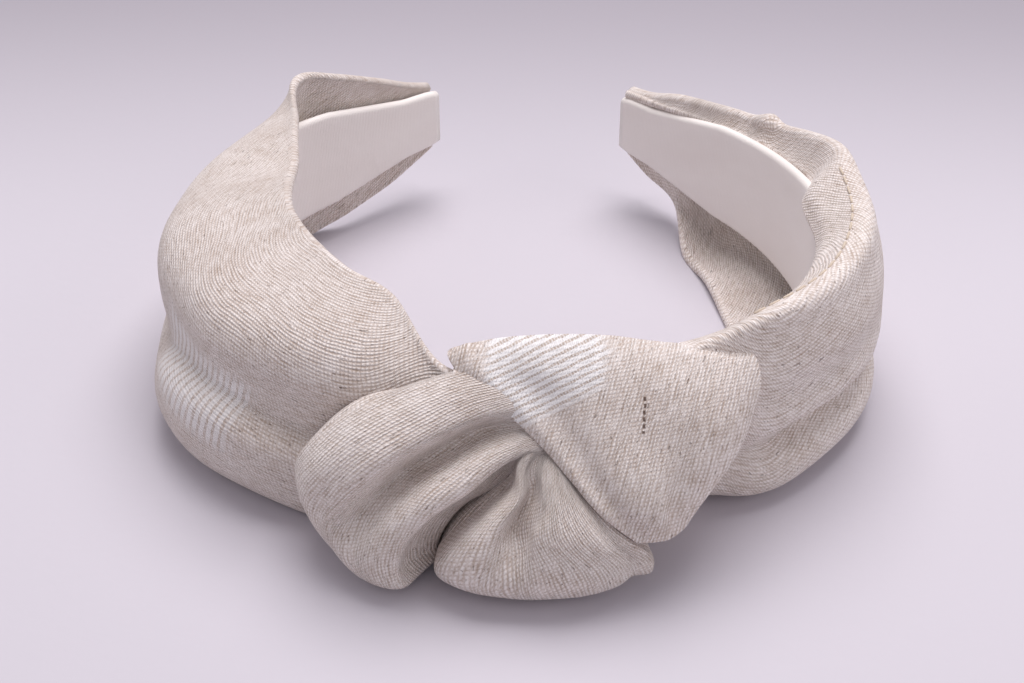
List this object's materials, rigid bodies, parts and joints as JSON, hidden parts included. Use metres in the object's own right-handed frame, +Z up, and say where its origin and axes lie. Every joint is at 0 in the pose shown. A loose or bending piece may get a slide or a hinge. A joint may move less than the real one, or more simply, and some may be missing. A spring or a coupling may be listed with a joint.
{
  "type": "knotted headband",
  "caption": "C-shaped stiff headband lined with cream ribbon, padded, and covered by a wide oatmeal linen twill tube tied in a turban knot at the crown.",
  "frame": {"origin": "on the table under the centre of the whole object's box, as it lies on its lower edges", "axes": "+Z up and along the band's width, +Y towards the open tips, -Y towards the knot, +X to the wearer's left when worn with +Z forward"},
  "size_m": [0.1539, 0.1526, 0.0455],
  "materials": {
    "strip_plastic": "plain moulded strip",
    "ribbon_lining": "smooth cream ribbon",
    "foam_padding": "thin open foam",
    "linen_twill": "oatmeal linen twill with slubs and white stripes",
    "sewing_thread": "spun sewing thread"
  },
  "bodies": {
    "crown": {"crown_core": "strip_plastic", "crown_lining": "ribbon_lining", "crown_padding": "foam_padding", "crown_cover": "linen_twill", "knot_tongue": "linen_twill", "knot_left_loop": "linen_twill", "knot_lower_lobe": "linen_twill"},
    "left_arm": {"left_core": "strip_plastic", "left_lining": "ribbon_lining", "left_padding": "foam_padding", "left_cover": "linen_twill", "left_seam_thread": "sewing_thread"},
    "right_arm": {"right_core": "strip_plastic", "right_lining": "ribbon_lining", "right_padding": "foam_padding", "right_cover": "linen_twill", "right_seam_thread": "sewing_thread"}
  },
  "joints": [
    {"name": "left_arm_flex", "type": "hinge", "parent": "crown", "child": "left_arm", "pos_m": [-0.06261, -0.0411, 0.022], "axis": [0, 0, 1], "range_deg": [0, 20], "stiffness_Nm_per_rad": 0.4},
    {"name": "right_arm_flex", "type": "hinge", "parent": "crown", "child": "right_arm", "pos_m": [0.05791, -0.0411, 0.022], "axis": [0, 0, -1], "range_deg": [0, 20], "stiffness_Nm_per_rad": 0.4}
  ]
}
